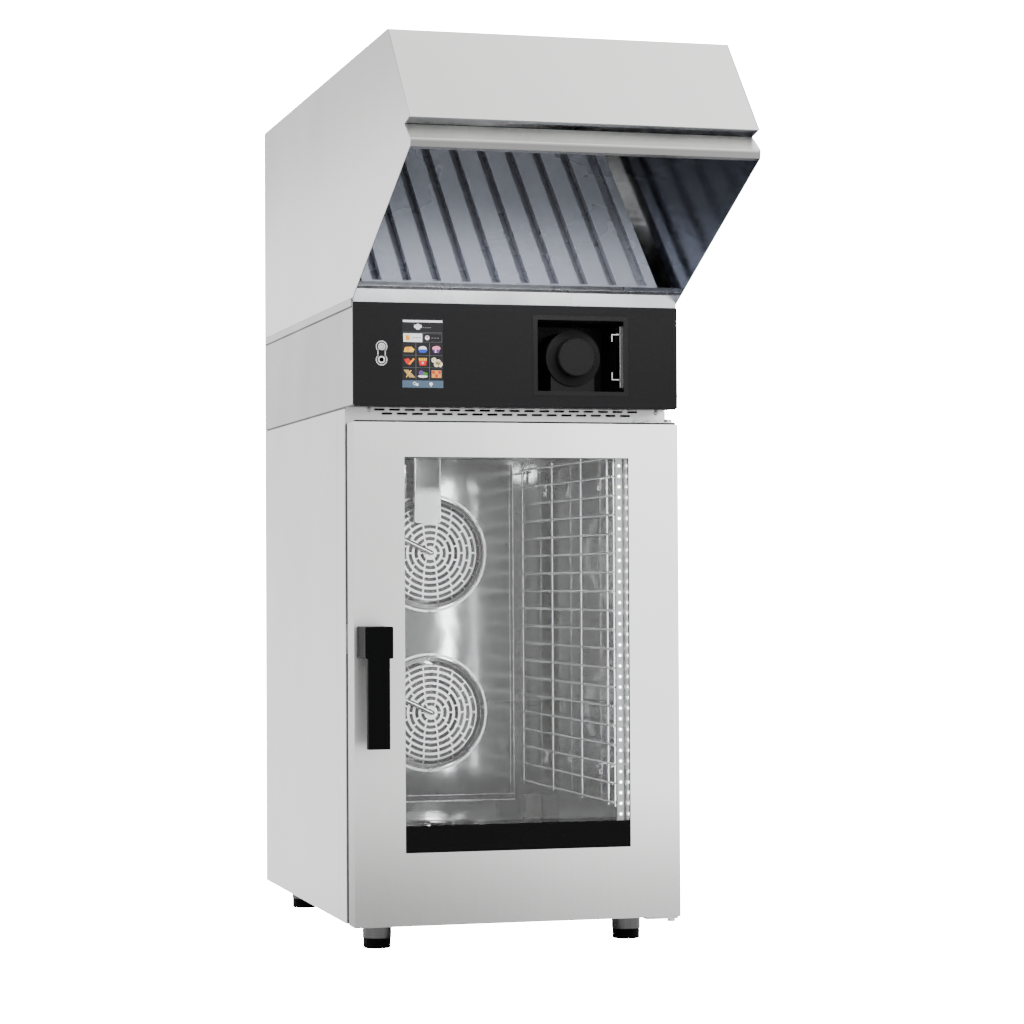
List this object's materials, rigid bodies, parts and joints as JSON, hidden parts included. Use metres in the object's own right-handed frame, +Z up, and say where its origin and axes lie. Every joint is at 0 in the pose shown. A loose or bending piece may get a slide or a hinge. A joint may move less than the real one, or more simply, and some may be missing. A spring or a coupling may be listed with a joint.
{
  "type": "combi steamer oven",
  "caption": "Compact combi steamer oven: side-hung glass door, slotted fan guards, wire racks, touch panel, detergent bay and a sloping condensing hood on top.",
  "frame": {"origin": "floor level under the middle of the object's bounding box", "axes": "+Z up, the door and the control panel face -Y, +X to the right seen from the front"},
  "size_m": [0.519, 1.165, 1.364],
  "materials": {
    "casing_steel": "fine vertical brushing",
    "cavity_steel": "bright rolled",
    "wire_steel": "polished wire",
    "heater_steel": "heat-darkened",
    "zinc_steel": "zinc plated",
    "polished_steel": "polished",
    "filter_steel": "rolled sheet",
    "clear_glass": "clear tempered",
    "black_glass": "back-painted, gloss",
    "black_plastic": "fine grain",
    "grey_plastic": "smooth",
    "black_rubber": "matte",
    "mineral_wool": "matted fibre",
    "dark_motor": "black paint",
    "board_green": "lacquered",
    "lamp_white": "diffusing",
    "brass_bush": "turned",
    "brass_valve": "cast and turned"
  },
  "bodies": {
    "oven": {"base_pan": "casing_steel", "bay_clip": "polished_steel", "bay_housing": "black_plastic", "button_surround": "black_plastic", "cable_gland": "black_plastic", "cavity_liner": "cavity_steel", "ceiling_duct": "cavity_steel", "control_backplate": "casing_steel", "control_board": "board_green", "control_glass": "black_glass", "cooler_frame": "black_plastic", "door_seals": "black_rubber", "drain_basket": "cavity_steel", "drain_pipe": "grey_plastic", "fan_baffle": "cavity_steel", "fan_guards": "cavity_steel", "fan_motors": "dark_motor", "filter_rails": "casing_steel", "foot_pads": "black_plastic", "foot_sleeves": "polished_steel", "front_frame": "casing_steel", "heating_elements": "heater_steel", "hinge_brackets": "zinc_steel", "hinge_pins": "zinc_steel", "hood_blower": "dark_motor", "hood_drip_tray": "casing_steel", "hood_flange": "casing_steel", "hood_lip": "casing_steel", "hood_side_left": "casing_steel", "hood_side_right": "casing_steel", "hood_top_cover": "casing_steel", "hood_visor": "casing_steel", "inject_tubes": "cavity_steel", "insulation_jacket": "mineral_wool", "rear_panel": "casing_steel", "side_panel_left": "casing_steel", "side_panel_right": "casing_steel", "steam_chimney": "cavity_steel", "touch_screen": "black_glass", "upper_casing": "casing_steel", "vent_strip": "casing_steel", "water_valve": "brass_valve"},
    "door": {"door_skin": "casing_steel", "door_back_frame": "casing_steel", "door_spacer": "black_plastic", "door_outer_glass": "clear_glass", "door_inner_glass": "clear_glass", "door_light_strip": "lamp_white", "door_bushes": "brass_bush"},
    "handle": {"handle_grip": "black_plastic", "latch_spindle": "zinc_steel"},
    "button": {"power_button": "black_plastic"},
    "cartridge": {"cartridge": "black_plastic"},
    "cooler_wheel": {"cooler_wheel": "black_plastic"},
    "fan_upper": {"fan_wheel_upper": "cavity_steel"},
    "fan_lower": {"fan_wheel_lower": "cavity_steel"},
    "blower_wheel": {"hood_blower_wheel": "zinc_steel"},
    "rack_left": {"rack_left": "wire_steel"},
    "rack_right": {"rack_right": "wire_steel"},
    "grease_filter": {"grease_filter": "filter_steel"}
  },
  "joints": [
    {"name": "door_swing", "type": "hinge", "parent": "oven", "child": "door", "pos_m": [0.251, -0.1755, 0.427], "axis": [0, 0, 1], "range_deg": [0, 130]},
    {"name": "handle_turn", "type": "hinge", "parent": "door", "child": "handle", "pos_m": [-0.2335, -0.1975, 0.476], "axis": [0, -1, 0], "range_deg": [0, 90]},
    {"name": "power_press", "type": "slide", "parent": "oven", "child": "button", "axis": [0, 1, 0], "range_m": [0, 0.0015], "stiffness_N_per_m": 800},
    {"name": "cartridge_pull", "type": "slide", "parent": "oven", "child": "cartridge", "axis": [0, -1, 0], "range_m": [0, 0.11]},
    {"name": "fan_upper_spin", "type": "hinge", "parent": "oven", "child": "fan_upper", "pos_m": [0, 0.45, 0.61704], "axis": [0, 1, 0], "continuous": true},
    {"name": "fan_lower_spin", "type": "hinge", "parent": "oven", "child": "fan_lower", "pos_m": [0, 0.45, 0.34001], "axis": [0, 1, 0], "continuous": true},
    {"name": "cooler_spin", "type": "hinge", "parent": "oven", "child": "cooler_wheel", "pos_m": [0.1795, 0.53, 0.9114], "axis": [0, 1, 0], "continuous": true},
    {"name": "blower_spin", "type": "hinge", "parent": "oven", "child": "blower_wheel", "pos_m": [0, 0.5, 1.134], "axis": [0, 1, 0], "continuous": true},
    {"name": "rack_left_lift", "type": "slide", "parent": "oven", "child": "rack_left", "axis": [0, 0, 1], "range_m": [0, 0.012]},
    {"name": "rack_right_lift", "type": "slide", "parent": "oven", "child": "rack_right", "axis": [0, 0, 1], "range_m": [0, 0.012]},
    {"name": "filter_lift", "type": "slide", "parent": "oven", "child": "grease_filter", "axis": [0, 0.7431, 0.6691], "range_m": [0, 0.012]}
  ]
}
